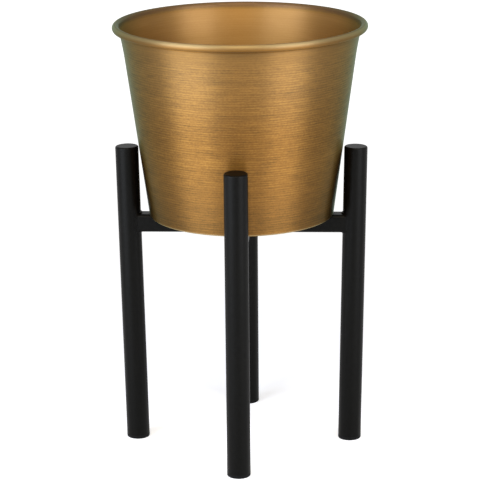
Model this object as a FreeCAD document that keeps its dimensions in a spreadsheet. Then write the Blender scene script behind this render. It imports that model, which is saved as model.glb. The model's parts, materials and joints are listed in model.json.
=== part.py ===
import FreeCAD, Part
import math
import os
import re
import Sketcher

# Tapered metal pot with a rolled rim, standing in a welded four-leg tube stand.
# Millimetres and degrees, +Z up, floor at Z = 0, front leg towards -Y.

# Driving sizes: name, value, what it measures
SIZES = [
    ("pot_rim_d", "205.5", "outside of the rolled rim"),
    ("pot_base_d", "151", "outside of the pot at its bottom corner"),
    ("pot_height", "158.2", "seat to the top of the rim"),
    ("sheet_thick", "0.9", "sheet of the pot wall and base"),
    ("rim_bead_d", "5.8", "outside of the rolled rim's curl"),
    ("flare_r", "250", "radius of the wall's outward flare below the curl"),
    ("flare_turn", "6", "how far the flare turns outwards, in degrees"),
    ("rim_lip_gap", "0.6", "gap between the curl's lip and the wall"),
    ("base_bend_r", "1.6", "inside radius of the pot's bottom bends"),
    ("hem_width", "8", "turned-in hem under the base dish"),
    ("dish_flange", "8", "upturned edge of the base dish"),
    ("dish_gap", "0.15", "clearance between base dish and wall"),
    ("seat_height", "195", "floor to the top of the crossbars"),
    ("leg_rise", "56.5", "legs above the crossbars"),
    ("leg_d", "19", "leg tube outside"),
    ("leg_wall", "1.2", "leg tube wall"),
    ("leg_toe_in", "1", "lean of each leg, feet inwards, in degrees"),
    ("pot_clearance", "1", "clearance between pot wall and leg tops"),
    ("bar_shoulder", "2", "how far a leg stands out past the square crossbar on each side"),
    ("bar_wall", "1.5", "crossbar tube wall"),
    ("bar_bend_r", "1.5", "inside corner radius of the crossbar tube"),
    ("fit_up_gap", "0.1", "root gap of the welded joints"),
    ("weld_leg", "1.4", "leg length of the fillet welds"),
    ("plug_gap", "0.1", "clearance of caps and glides in the tube"),
    ("cap_land", "1.6", "straight side of the top cap's head"),
    ("cap_round", "1.4", "rounded edge of the top cap"),
    ("cap_spigot", "9", "length of the top cap inside the tube"),
    ("glide_land", "1.8", "straight side of the foot glide's head"),
    ("glide_round", "1.2", "rounded edge of the foot glide's sole"),
    ("glide_tail", "2.4", "plain end of the glide's spigot past its ribs"),
    ("rib_depth", "0.9", "height of the glide's gripping ribs"),
    ("rib_width", "1.6", "width of a gripping rib at its root"),
    ("rib_pitch", "3.2", "spacing of the gripping ribs"),
]
RIB_COUNT = 3

# Each leg's direction from the middle of the stand, in degrees from +X
LEGS = {"right": 0, "back": 90, "left": 180, "front": 270}

NAMES = {alias for alias, text, meaning in SIZES}
NEAR = 1e-4
Vector = FreeCAD.Vector

doc = FreeCAD.newDocument("planter_with_stand")
sheet = doc.addObject("Spreadsheet::Sheet", "Sizes")
for row, (alias, text, meaning) in enumerate(SIZES, start=1):
    sheet.set(f"A{row}", meaning)
    sheet.set(f"B{row}", text)
    sheet.setAlias(f"B{row}", alias)
doc.recompute()

# Places that several pieces share, as formulas of the cells
BEAD_R = "(rim_bead_d / 2)"
CURL_R = f"({BEAD_R} - sheet_thick)"
CORNER_R = "(base_bend_r + sheet_thick)"
BEAD_X = f"(pot_rim_d / 2 - {BEAD_R})"
BEAD_Z = f"(pot_height - {BEAD_R})"
CORNER_X = f"(pot_base_d / 2 - {CORNER_R})"
RUN = f"({BEAD_X} - {CORNER_X})"
CLIMB = f"({BEAD_Z} - {CORNER_R})"
# The wall is the straight line that touches the bottom corner and the flare, which runs into the curl
FLARE_REACH = f"(flare_r - {CURL_R})"
FLARE_TURN = "(flare_turn * 1 deg)"
WALL_SPREAD = f"({CORNER_R} + flare_r - {FLARE_REACH} * cos({FLARE_TURN}))"
TAPER = f"(acos({WALL_SPREAD} / hypot({RUN}; {CLIMB})) - atan2({CLIMB}; {RUN}))"
FLARE_X = f"({BEAD_X} + {FLARE_REACH} * cos({TAPER} + {FLARE_TURN}))"
FLARE_Z = f"({BEAD_Z} - {FLARE_REACH} * sin({TAPER} + {FLARE_TURN}))"
WALL_OFFSET = f"({CORNER_X} * cos({TAPER}) - {CORNER_R} * sin({TAPER}) + {CORNER_R})"
WALL_AT_LEG_TOP = f"(({WALL_OFFSET} + leg_rise * sin({TAPER})) / cos({TAPER}))"
# The curl runs on past the wall's side of the bead until its lip is one gap from the flare
LIP_SHARE = f"(({BEAD_R}^2 + {FLARE_REACH}^2 - (flare_r - rim_lip_gap)^2) / (2 * {BEAD_R} * {FLARE_REACH}))"
LIP_ANGLE = f"(-acos({LIP_SHARE}) - {TAPER} - {FLARE_TURN})"
LEG_R = "(leg_d / 2)"
BORE_R = f"({LEG_R} - leg_wall)"
PLUG_R = f"({BORE_R} - plug_gap)"
LEG_TOP = "(seat_height + leg_rise)"
LEG_LENGTH = f"({LEG_TOP} / cos(leg_toe_in))"
FOOT_RING = f"({WALL_AT_LEG_TOP} + pot_clearance + {LEG_R} - {LEG_TOP} * tan(leg_toe_in))"
CAP_HEAD = "(cap_land + cap_round)"
GLIDE_HEAD = "(glide_land + glide_round)"
BAR_HALF = f"({LEG_R} - bar_shoulder)"
BAR_CORNER_R = "(bar_bend_r + bar_wall)"
BAR_MID = f"(seat_height - {BAR_HALF})"
BAR_RING = f"({FOOT_RING} + {BAR_MID} * tan(leg_toe_in))"


def formula(text):
    """Write each size's name as a reference to its cell."""
    return re.sub(r"[a-z_]+", lambda word: "Sizes." + word[0] if word[0] in NAMES else word[0], text)


def number(text):
    """Work a formula out from the cells, in millimetres or degrees."""
    result = sheet.evalExpression(text)
    return float(getattr(result, "Value", result))


def bind(thing, prop, text):
    """Tie a property to the cells."""
    thing.setExpression(prop, formula(text))


def raised(height):
    """Placement above the middle of the floor."""
    return f"placement(vector(0; 0; {height}); rotation(vector(0; 0; 1); 0))"


def on_leg(direction, along):
    """Placement on a leg's axis, some way up it from the floor, with Z up the leg and X outwards."""
    radius = f"({FOOT_RING} + {along} * sin(leg_toe_in))"
    spot = f"vector({radius} * cos({direction}); {radius} * sin({direction}); {along} * cos(leg_toe_in))"
    turn = f"rotation(vector(0; 0; 1); {direction}) * rotation(vector(0; 1; 0); leg_toe_in)"
    return f"placement({spot}; {turn})"


def on_bar(direction, radius):
    """Placement on a crossbar's axis, at a radius from the middle, with Z outwards along the bar."""
    spot = f"vector({radius} * cos({direction}); {radius} * sin({direction}); {BAR_MID})"
    turn = f"rotation(vector(0; 0; 1); {direction}) * rotation(vector(0; 1; 0); 90)"
    return f"placement({spot}; {turn})"


def new_body(name, place):
    body = doc.addObject("PartDesign::Body", name)
    body.Label = name
    bind(body, "Placement", place)
    return body


def new_sketch(body, role, name):
    """A sketch on one of the body's own origin planes."""
    sketch = body.newObject("Sketcher::SketchObject", name)
    plane = next(item for item in body.Origin.OriginFeatures if item.Role == role)
    sketch.AttachmentSupport = (plane, [""])
    sketch.MapMode = "FlatFace"
    return sketch


def line(sketch, start, end):
    return sketch.addGeometry(Part.LineSegment(Vector(*start, 0), Vector(*end, 0)))


def arc(sketch, centre, radius, start_deg, end_deg):
    """An arc drawn anticlockwise."""
    circle = Part.Circle(Vector(*centre, 0), Vector(0, 0, 1), radius)
    return sketch.addGeometry(Part.ArcOfCircle(circle, math.radians(start_deg), math.radians(end_deg)))


def on_circle(centre, radius, degrees):
    """The point at an angle on a circle."""
    turn = math.radians(degrees)
    return centre[0] + radius * math.cos(turn), centre[1] + radius * math.sin(turn)


def relate(sketch, kind, *ends):
    sketch.addConstraint(Sketcher.Constraint(kind, *ends))


def measure(sketch, kind, name, text, *ends):
    """A named dimension, worked out from the cells and tied to them."""
    value = number(text)
    if kind == "Angle":
        value = math.radians(value)
    index = sketch.addConstraint(Sketcher.Constraint(kind, *ends, value))
    sketch.renameConstraint(index, name)
    bind(sketch, f"Constraints.{name}", text)


def place_point(sketch, name, curve, end, across, up):
    """Distances of one point from the sketch's origin."""
    measure(sketch, "DistanceX", f"{name}_across", across, -1, 1, curve, end)
    measure(sketch, "DistanceY", f"{name}_up", up, -1, 1, curve, end)


def join(sketch, *corners):
    """Corners where two curves meet: curve, end, curve, end, smooth or not."""
    for first, first_end, second, second_end, smooth in corners:
        relate(sketch, "Tangent" if smooth else "Coincident", first, first_end, second, second_end)


def outline(sketch, points):
    """A closed outline of straight lines, each joined to the next."""
    lines = [line(sketch, start, end) for start, end in zip(points, points[1:] + points[:1])]
    for side, following in zip(lines, lines[1:] + lines[:1]):
        relate(sketch, "Coincident", side, 2, following, 1)
    return lines


def stepped_outline(sketch, corners):
    """An outline of level and upright lines through corners given as formulas, the first line level."""
    points = [(number(across), number(up)) for across, up in corners]
    for index, side in enumerate(outline(sketch, points)):
        across, up = corners[index]
        if index % 2:
            relate(sketch, "Vertical", side)
            measure(sketch, "DistanceX", f"across_{index}", across, -1, 1, side, 1)
        else:
            relate(sketch, "Horizontal", side)
            measure(sketch, "DistanceY", f"up_{index}", up, -1, 1, side, 1)


def revolve(body, sketch, name):
    spin = body.newObject("PartDesign::Revolution", name)
    spin.Profile = sketch
    spin.ReferenceAxis = (sketch, ["V_Axis"])
    spin.Angle = 360
    return spin


def pad(body, sketch, name, length):
    block = body.newObject("PartDesign::Pad", name)
    block.Profile = sketch
    bind(block, "Length", length)
    return block


def edges_where(shape, passes):
    """Numbers of the edges whose sampled points all pass a test."""
    numbered = enumerate(shape.Edges, start=1)
    return [index for index, edge in numbered if all(passes(point) for point in edge.discretize(5))]


def round_edge(body, feature, name, radius, passes):
    """A fillet on the edges that pass a test."""
    doc.recompute()
    fillet = body.newObject("PartDesign::Fillet", name)
    fillet.Base = (feature, [f"Edge{index}" for index in edges_where(feature.Shape, passes)])
    bind(fillet, "Radius", radius)


def make_pot_wall():
    """Hem, bottom corner, straight taper, flare and the curl of the rim, as one section a sheet thick."""
    body = new_body("pot_wall", raised("seat_height"))
    section = new_sketch(body, "XZ_Plane", "wall_section")
    thick = number("sheet_thick")
    side = -number(TAPER)
    flare_low = 180 + side
    flare_high = flare_low - number("flare_turn")
    flare = (number(FLARE_X), number(FLARE_Z))
    flare_out = number("flare_r")
    flare_in = flare_out + thick
    lip = number(LIP_ANGLE)
    corner = (number(CORNER_X), number(CORNER_R))
    corner_out = number(CORNER_R)
    corner_in = number("base_bend_r")
    bead = (number(BEAD_X), number(BEAD_Z))
    curl_out = number(BEAD_R)
    curl_in = number(CURL_R)
    hem_end = corner[0] - number("hem_width")

    hem_under = line(section, (hem_end, 0), (corner[0], 0))
    outer_corner = arc(section, corner, corner_out, -90, side)
    outer_wall = line(section, on_circle(corner, corner_out, side), on_circle(flare, flare_out, flare_low))
    outer_flare = arc(section, flare, flare_out, flare_high, flare_low)
    inner_curl = arc(section, bead, curl_in, lip, flare_high)
    lip_edge = line(section, on_circle(bead, curl_in, lip), on_circle(bead, curl_out, lip))
    outer_curl = arc(section, bead, curl_out, lip, flare_high)
    inner_flare = arc(section, flare, flare_in, flare_high, flare_low)
    inner_wall = line(section, on_circle(flare, flare_in, flare_low), on_circle(corner, corner_in, side))
    inner_corner = arc(section, corner, corner_in, -90, side)
    hem_top = line(section, (corner[0], thick), (hem_end, thick))
    hem_edge = line(section, (hem_end, thick), (hem_end, 0))

    join(
        section,
        (hem_under, 2, outer_corner, 1, True),
        (outer_corner, 2, outer_wall, 1, True),
        (outer_wall, 2, outer_flare, 2, True),
        (outer_flare, 1, inner_curl, 2, True),
        (inner_curl, 1, lip_edge, 1, False),
        (lip_edge, 2, outer_curl, 1, False),
        (outer_curl, 2, inner_flare, 1, True),
        (inner_flare, 2, inner_wall, 1, True),
        (inner_wall, 2, inner_corner, 2, True),
        (inner_corner, 1, hem_top, 1, True),
        (hem_top, 2, hem_edge, 1, False),
        (hem_edge, 2, hem_under, 1, False),
        (outer_corner, 3, inner_corner, 3, False),
        (outer_curl, 3, inner_curl, 3, False),
        (outer_flare, 3, inner_flare, 3, False),
    )
    relate(section, "Horizontal", hem_under)
    relate(section, "Horizontal", hem_top)
    relate(section, "Vertical", hem_edge)
    relate(section, "PointOnObject", inner_curl, 3, lip_edge)
    place_point(section, "corner", outer_corner, 3, CORNER_X, CORNER_R)
    place_point(section, "bead", outer_curl, 3, BEAD_X, BEAD_Z)
    measure(section, "Radius", "corner_outside", CORNER_R, outer_corner)
    measure(section, "Radius", "corner_inside", "base_bend_r", inner_corner)
    measure(section, "Radius", "curl_outside", BEAD_R, outer_curl)
    measure(section, "Radius", "curl_inside", CURL_R, inner_curl)
    measure(section, "Radius", "flare_outside", "flare_r", outer_flare)
    measure(section, "DistanceY", "flare_up", FLARE_Z, -1, 1, outer_flare, 3)
    measure(section, "DistanceX", "hem_end", f"{CORNER_X} - hem_width", -1, 1, hem_edge, 2)
    measure(section, "Angle", "lip_angle", LIP_ANGLE, lip_edge)
    revolve(body, section, "spun_wall")
    return body


def make_pot_base():
    """Flat floor, bend and flange of the base dish, resting on the hem and parallel to the wall."""
    body = new_body("pot_base", raised("seat_height"))
    section = new_sketch(body, "XZ_Plane", "dish_section")
    bend_up = f"({CORNER_R} + sheet_thick)"
    room = f"({WALL_OFFSET} - sheet_thick - dish_gap - {CORNER_R})"
    bend_across = f"(({room} + {bend_up} * sin({TAPER})) / cos({TAPER}))"
    thick = number("sheet_thick")
    side = -number(TAPER)
    bend = (number(bend_across), number(bend_up))
    bend_out = number(CORNER_R)
    bend_in = number("base_bend_r")
    flange = number("dish_flange")
    foot_out = on_circle(bend, bend_out, side)
    foot_in = on_circle(bend, bend_in, side)
    edge_out = on_circle(foot_out, flange, side + 90)
    edge_in = on_circle(foot_in, flange, side + 90)

    under = line(section, (0, thick), (bend[0], thick))
    outer_bend = arc(section, bend, bend_out, -90, side)
    outer_flange = line(section, foot_out, edge_out)
    flange_edge = line(section, edge_out, edge_in)
    inner_flange = line(section, edge_in, foot_in)
    inner_bend = arc(section, bend, bend_in, -90, side)
    floor = line(section, (bend[0], 2 * thick), (0, 2 * thick))
    axis = line(section, (0, 2 * thick), (0, thick))

    join(
        section,
        (under, 2, outer_bend, 1, True),
        (outer_bend, 2, outer_flange, 1, True),
        (outer_flange, 2, flange_edge, 1, False),
        (flange_edge, 2, inner_flange, 1, False),
        (inner_flange, 2, inner_bend, 2, True),
        (inner_bend, 1, floor, 1, True),
        (floor, 2, axis, 1, False),
        (axis, 2, under, 1, False),
        (outer_bend, 3, inner_bend, 3, False),
    )
    relate(section, "Horizontal", under)
    relate(section, "Horizontal", floor)
    relate(section, "PointOnObject", axis, 1, -2)
    relate(section, "PointOnObject", axis, 2, -2)
    relate(section, "Perpendicular", outer_flange, flange_edge)
    place_point(section, "bend", outer_bend, 3, bend_across, bend_up)
    measure(section, "Radius", "bend_outside", CORNER_R, outer_bend)
    measure(section, "Radius", "bend_inside", "base_bend_r", inner_bend)
    measure(section, "Angle", "flange_lean", f"90 deg - {TAPER}", outer_flange)
    measure(section, "Distance", "flange_length", "dish_flange", outer_flange)
    revolve(body, section, "pressed_dish")
    return body


def circle_about_axis(sketch, name, radius):
    """A circle round the sketch's origin."""
    ring = sketch.addGeometry(Part.Circle(Vector(0, 0, 0), Vector(0, 0, 1), number(radius)))
    relate(sketch, "Coincident", ring, 3, -1, 1)
    measure(sketch, "Radius", name, radius, ring)


def make_leg(side):
    """A straight round tube between its glide and its cap."""
    name = f"leg_{side}"
    body = new_body(name, on_leg(LEGS[side], GLIDE_HEAD))
    section = new_sketch(body, "XY_Plane", f"{name}_section")
    circle_about_axis(section, "outside", LEG_R)
    circle_about_axis(section, "bore", BORE_R)
    pad(body, section, f"{name}_tube", f"{LEG_LENGTH} - {GLIDE_HEAD} - {CAP_HEAD}")
    return body


def make_top_cap(side):
    """A plug with a rounded head as wide as the tube and a spigot in its bore."""
    name = f"top_cap_{side}"
    body = new_body(name, on_leg(LEGS[side], f"({LEG_LENGTH} - {CAP_HEAD})"))
    section = new_sketch(body, "XZ_Plane", f"{name}_section")
    stepped_outline(section, [
        ("0", "-cap_spigot"),
        (PLUG_R, "-cap_spigot"),
        (PLUG_R, "0"),
        (LEG_R, "0"),
        (LEG_R, CAP_HEAD),
        ("0", CAP_HEAD),
    ])
    plug = revolve(body, section, f"{name}_turned")
    top = number(CAP_HEAD)
    reach = number(LEG_R)

    def at_top_edge(point):
        return abs(point.z - top) < NEAR and abs(math.hypot(point.x, point.y) - reach) < NEAR

    round_edge(body, plug, f"{name}_edge", "cap_round", at_top_edge)
    return body


def add_ribs(body, name, core):
    """Gripping ribs in a row up the glide's spigot: a sawtooth ring and its copies."""
    section = new_sketch(body, "XZ_Plane", f"{name}_rib_section")
    low = f"({GLIDE_HEAD} + rib_pitch - rib_width)"
    high = f"({GLIDE_HEAD} + rib_pitch)"
    root_low = (number(core), number(low))
    root_high = (number(core), number(high))
    tip = (number(PLUG_R), number(low))
    root, slope, flat = outline(section, [root_low, root_high, tip])
    relate(section, "Vertical", root)
    relate(section, "Horizontal", flat)
    place_point(section, "root", root, 1, core, low)
    measure(section, "DistanceY", "root_top", high, -1, 1, root, 2)
    measure(section, "DistanceX", "tip", PLUG_R, -1, 1, slope, 2)
    rib = revolve(body, section, f"{name}_rib")
    row = body.newObject("PartDesign::LinearPattern", f"{name}_ribs")
    row.Originals = [rib]
    row.Direction = (section, ["V_Axis"])
    row.Occurrences = RIB_COUNT
    bind(row, "Length", f"rib_pitch * {RIB_COUNT - 1}")
    body.Tip = row


def cut_sole(body, name):
    """Cut off what lies below the level floor, which leans in the leg's own frame."""
    section = new_sketch(body, "XZ_Plane", f"{name}_below_floor")
    reach = number("leg_d")
    drop = reach * math.tan(math.radians(number("leg_toe_in")))
    corners = [(-reach, -drop), (reach, drop), (reach, -2 * reach), (-reach, -2 * reach)]
    floor, right, under, left = outline(section, corners)
    relate(section, "Vertical", right)
    relate(section, "Vertical", left)
    relate(section, "Horizontal", under)
    relate(section, "PointOnObject", -1, 1, floor)
    measure(section, "DistanceX", "right_side", "leg_d", -1, 1, right, 1)
    measure(section, "DistanceX", "left_side", "-leg_d", -1, 1, left, 1)
    measure(section, "DistanceY", "underside", "-2 * leg_d", -1, 1, under, 1)
    measure(section, "Angle", "floor_lean", "leg_toe_in", floor)
    sole = body.newObject("PartDesign::Pocket", f"{name}_sole")
    sole.Profile = section
    sole.Type = "ThroughAll"
    sole.Midplane = True
    return sole


def make_foot_glide(side):
    """A moulded glide: ribbed spigot in the bore, and a head whose sole is level with the floor."""
    name = f"foot_glide_{side}"
    body = new_body(name, on_leg(LEGS[side], "0"))
    section = new_sketch(body, "XZ_Plane", f"{name}_section")
    core = f"({PLUG_R} - rib_depth)"
    spigot_end = f"({GLIDE_HEAD} + rib_pitch * {RIB_COUNT} + glide_tail)"
    stepped_outline(section, [
        ("0", f"-{GLIDE_HEAD}"),
        (LEG_R, f"-{GLIDE_HEAD}"),
        (LEG_R, GLIDE_HEAD),
        (core, GLIDE_HEAD),
        (core, spigot_end),
        ("0", spigot_end),
    ])
    revolve(body, section, f"{name}_turned")
    add_ribs(body, name, core)
    sole = cut_sole(body, name)
    lean = math.tan(math.radians(number("leg_toe_in")))
    reach = number(LEG_R)

    def at_sole_edge(point):
        return abs(point.z - point.x * lean) < NEAR and abs(math.hypot(point.x, point.y) - reach) < NEAR

    round_edge(body, sole, f"{name}_edge", "glide_round", at_sole_edge)
    return body


def rounded_square(sketch, name, half, corner):
    """A square about the sketch's origin with rounded corners."""
    reach = number(half)
    radius = number(corner)
    flat = reach - radius
    right = line(sketch, (reach, -flat), (reach, flat))
    top = line(sketch, (flat, reach), (-flat, reach))
    left = line(sketch, (-reach, flat), (-reach, -flat))
    bottom = line(sketch, (-flat, -reach), (flat, -reach))
    for turn, before, after in ((0, right, top), (90, top, left), (180, left, bottom), (270, bottom, right)):
        centre = on_circle((0, 0), flat * math.sqrt(2), turn + 45)
        curve = arc(sketch, centre, radius, turn, turn + 90)
        join(sketch, (before, 2, curve, 1, True), (curve, 2, after, 1, True))
        measure(sketch, "Radius", f"{name}_corner_{turn}", corner, curve)
    for side, position, sign in ((right, "right", ""), (left, "left", "-")):
        relate(sketch, "Vertical", side)
        measure(sketch, "DistanceX", f"{name}_{position}", f"{sign}{half}", -1, 1, side, 1)
    for side, position, sign in ((top, "top", ""), (bottom, "bottom", "-")):
        relate(sketch, "Horizontal", side)
        measure(sketch, "DistanceY", f"{name}_{position}", f"{sign}{half}", -1, 1, side, 1)


def bar_stock(name, length, place, hollow):
    """A length of the square bar, as tube or as a solid of its outside."""
    body = new_body(name, place)
    section = new_sketch(body, "XY_Plane", f"{name}_section")
    rounded_square(section, "outside", BAR_HALF, BAR_CORNER_R)
    if hollow:
        rounded_square(section, "inside", f"({BAR_HALF} - bar_wall)", "bar_bend_r")
    pad(body, section, f"{name}_length", length)
    return body


def leg_cylinder(name, side, radius):
    """A solid cylinder on a leg's axis."""
    cylinder = doc.addObject("Part::Cylinder", name)
    bind(cylinder, "Radius", radius)
    bind(cylinder, "Height", LEG_LENGTH)
    bind(cylinder, "Placement", on_leg(LEGS[side], "0"))
    return cylinder


def cut(name, base, tool):
    result = doc.addObject("Part::Cut", name)
    result.Label = name
    result.Base = base
    result.Tool = tool
    return result


def cope(name, bar, side):
    """Cut a bar's end to the round of the leg that it meets."""
    return cut(name, bar, leg_cylinder(f"{name}_cope_{side}", side, f"{LEG_R} + fit_up_gap"))


def make_long_crossbar():
    """The bar that runs through from the left leg to the right leg."""
    stock = bar_stock("long_stock", f"2 * {BAR_RING}", on_bar(LEGS["right"], f"(-{BAR_RING})"), True)
    return cope("long_crossbar", cope("long_crossbar_right_end", stock, "right"), "left")


def make_half_crossbar(side):
    """A half bar from its leg to the side of the long bar."""
    butt = f"({BAR_HALF} + fit_up_gap)"
    stock = bar_stock(f"{side}_stock", f"{BAR_RING} - {butt}", on_bar(LEGS[side], butt), True)
    return cope(f"{side}_crossbar", stock, side)


def make_leg_weld(side):
    """The fillet weld round a bar's end: the bevelled corner of leg and bar, less the leg and the bar."""
    name = f"leg_weld_{side}"
    joint = doc.addObject("Part::Fuse", f"{name}_joint")
    joint.Base = leg_cylinder(f"{name}_leg", side, LEG_R)
    joint.Tool = bar_stock(f"{name}_bar", BAR_RING, on_bar(LEGS[side], "0"), False)
    doc.recompute()
    to_leg = sheet.evalExpression(on_leg(LEGS[side], "0")).inverse()
    radius = number(LEG_R)
    middle = number(BAR_MID)
    half = number(BAR_HALF)

    def where_bar_meets_leg(point):
        on_round = abs(math.hypot(*to_leg.multVec(point)[:2]) - radius) < NEAR
        return on_round and abs(point.z - middle) < half + NEAR

    size = number("weld_leg")
    bevel = doc.addObject("Part::Chamfer", f"{name}_bevel")
    bevel.Base = joint
    bevel.Edges = [(index, size, size) for index in edges_where(joint.Shape, where_bar_meets_leg)]
    return cut(name, bevel, joint)


def make_hub_welds():
    """Upright fillets in the four corners between the half bars and the long bar."""
    start = f"(seat_height - 2 * {BAR_HALF} + {BAR_CORNER_R})"
    body = new_body("hub_welds", raised(start))
    section = new_sketch(body, "XY_Plane", "hub_weld_section")
    toe = f"({BAR_HALF} + weld_leg)"
    near = number(BAR_HALF)
    far = number(toe)
    along_long, face, along_half = outline(section, [(near, near), (far, near), (near, far)])
    relate(section, "Horizontal", along_long)
    relate(section, "Vertical", along_half)
    place_point(section, "root", along_long, 1, BAR_HALF, BAR_HALF)
    measure(section, "DistanceX", "toe_on_long", toe, -1, 1, face, 1)
    measure(section, "DistanceY", "toe_on_half", toe, -1, 1, face, 2)
    bead = pad(body, section, "hub_bead", f"2 * ({BAR_HALF} - {BAR_CORNER_R})")
    ring = body.newObject("PartDesign::PolarPattern", "hub_beads")
    ring.Originals = [bead]
    ring.Axis = (section, ["N_Axis"])
    ring.Angle = 360
    ring.Occurrences = 4
    body.Tip = ring
    return body


def check(pieces):
    """Stop on any failed object or unsound shape."""
    for thing in doc.Objects:
        if "Invalid" in thing.State or "Error" in thing.State:
            raise RuntimeError(f"{thing.Name} failed: {thing.State}")
    for piece in pieces:
        if piece.Shape.isNull() or not piece.Shape.isValid() or not piece.Shape.Solids:
            raise RuntimeError(f"{piece.Label} has no sound shape")


pieces = [make_pot_wall(), make_pot_base()]
for make in (make_leg, make_top_cap, make_foot_glide, make_leg_weld):
    pieces += [make(side) for side in LEGS]
pieces.append(make_long_crossbar())
pieces += [make_half_crossbar(side) for side in ("front", "back")]
pieces.append(make_hub_welds())
doc.recompute()
check(pieces)
os.makedirs("parts", exist_ok=True)
for piece in pieces:
    piece.Shape.exportStep(f"parts/{piece.Label}.step")
    print(f"{piece.Label}: {len(piece.Shape.Solids)} solid(s), {piece.Shape.Volume:.1f} mm3")
for name, place in (("taper", TAPER), ("feet on radius", FOOT_RING), ("bar ends on radius", BAR_RING)):
    print(f"{name}: {number(place):.3f}")
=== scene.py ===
# %% [markdown]
# # A gold pot on a welded tube stand
# A tapered sheet-metal pot stands loose on the crossbars of a black four-leg stand. The shapes, sizes and
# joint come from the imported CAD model, the frame. This script gives each piece its finish, makes finer
# versions of the pieces whose surface needs it, and lights and photographs the whole.

# %% Load the frame
import json
import bpy
import numpy as np
from mathutils import Matrix, Vector

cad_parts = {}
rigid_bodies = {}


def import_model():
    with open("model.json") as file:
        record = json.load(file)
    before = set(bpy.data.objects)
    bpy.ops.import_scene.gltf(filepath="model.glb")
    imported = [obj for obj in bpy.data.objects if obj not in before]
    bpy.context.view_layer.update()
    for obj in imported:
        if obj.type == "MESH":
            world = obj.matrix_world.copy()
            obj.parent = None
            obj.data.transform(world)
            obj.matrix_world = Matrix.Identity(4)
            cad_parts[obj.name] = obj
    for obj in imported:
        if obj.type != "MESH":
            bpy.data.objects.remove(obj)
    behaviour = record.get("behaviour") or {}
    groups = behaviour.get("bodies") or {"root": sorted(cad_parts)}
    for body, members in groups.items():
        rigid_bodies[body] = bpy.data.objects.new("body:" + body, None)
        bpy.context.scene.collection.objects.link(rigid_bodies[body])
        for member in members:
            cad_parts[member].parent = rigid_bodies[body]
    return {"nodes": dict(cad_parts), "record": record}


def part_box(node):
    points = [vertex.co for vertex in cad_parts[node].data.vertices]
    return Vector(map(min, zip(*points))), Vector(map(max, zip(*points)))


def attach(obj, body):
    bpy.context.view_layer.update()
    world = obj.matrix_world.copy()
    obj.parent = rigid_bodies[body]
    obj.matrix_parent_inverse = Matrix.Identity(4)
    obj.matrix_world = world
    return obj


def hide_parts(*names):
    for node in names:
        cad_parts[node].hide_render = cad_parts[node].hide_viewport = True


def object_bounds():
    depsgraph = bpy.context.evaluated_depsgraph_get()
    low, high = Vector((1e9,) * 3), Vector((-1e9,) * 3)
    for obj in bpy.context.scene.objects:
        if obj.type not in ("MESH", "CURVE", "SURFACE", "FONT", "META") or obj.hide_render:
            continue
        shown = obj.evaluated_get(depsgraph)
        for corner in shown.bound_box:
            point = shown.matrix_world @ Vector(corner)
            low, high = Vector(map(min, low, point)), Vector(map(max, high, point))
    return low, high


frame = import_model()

cad_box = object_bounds()
MM = 0.001
low, high = (np.array(corner) / MM for corner in cad_box)
print("CAD box in mm, lowest and highest corner:", low.round(1), high.round(1))

# %% [markdown]
# ## The camera
# The object was photographed from almost two metres with a long lens, from above the rim and a little to the
# right of the front leg. A camera can be placed by eye, but an eye is easily a degree out. Here its place was
# worked out by fitting the edges of legs, rim, wall and bar to the picture, with the picture's middle as the
# lens axis, so the camera needs no shift. Lengths are in millimetres and turns in degrees, here and below.

# %% Camera
IMAGE_PIXELS = 480
FOCAL_PIXELS = 2221.2
SENSOR_MM = 36.0
CAMERA_TARGET = (-1.6, 0.0, 171.8)
CAMERA_DISTANCE = 1829.6
CAMERA_AZIMUTH = 2.75
CAMERA_ELEVATION = 15.58
CAMERA_ROLL = -0.55


def towards(azimuth, elevation=0.0):
    """Unit vector: azimuth turns from the front (-Y) to the right (+X), and elevation goes upwards."""
    turn, rise = np.radians([azimuth, elevation])
    return np.array([np.sin(turn) * np.cos(rise), -np.cos(turn) * np.cos(rise), np.sin(rise)])


def camera_pose():
    """Target plus distance along the view axis, with the picture's axes turned about it by the roll."""
    back = towards(CAMERA_AZIMUTH, CAMERA_ELEVATION)
    level = towards(CAMERA_AZIMUTH + 90)
    upright = np.cross(back, level)
    roll = np.radians(CAMERA_ROLL)
    across = np.cos(roll) * level + np.sin(roll) * upright
    up = np.cos(roll) * upright - np.sin(roll) * level
    place = np.array(CAMERA_TARGET) + CAMERA_DISTANCE * back
    pose = np.eye(4)
    pose[:3] = np.column_stack([across, up, back, place * MM])
    return Matrix(pose)


lens = bpy.data.cameras.new("camera")
lens.sensor_width = SENSOR_MM
lens.lens = FOCAL_PIXELS / IMAGE_PIXELS * SENSOR_MM
camera = bpy.data.objects.new("camera", lens)
bpy.context.scene.collection.objects.link(camera)
camera.matrix_world = camera_pose()
bpy.context.scene.camera = camera
print(f"camera: {lens.lens:.1f} mm lens, {CAMERA_DISTANCE / 1000:.2f} m away")

# %% [markdown]
# ## Surfaces from grids
# Most pieces here are sections carried round an axis or along an edge. They could be drawn as curves and
# converted, or modelled by hand. Worked out as one array of points, every piece keeps exact sizes, and the
# same array says how far along the section and round the axis each point lies, which the finishes use.

# %% Skin a grid of points
SHARP_ANGLE = 35.0


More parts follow.
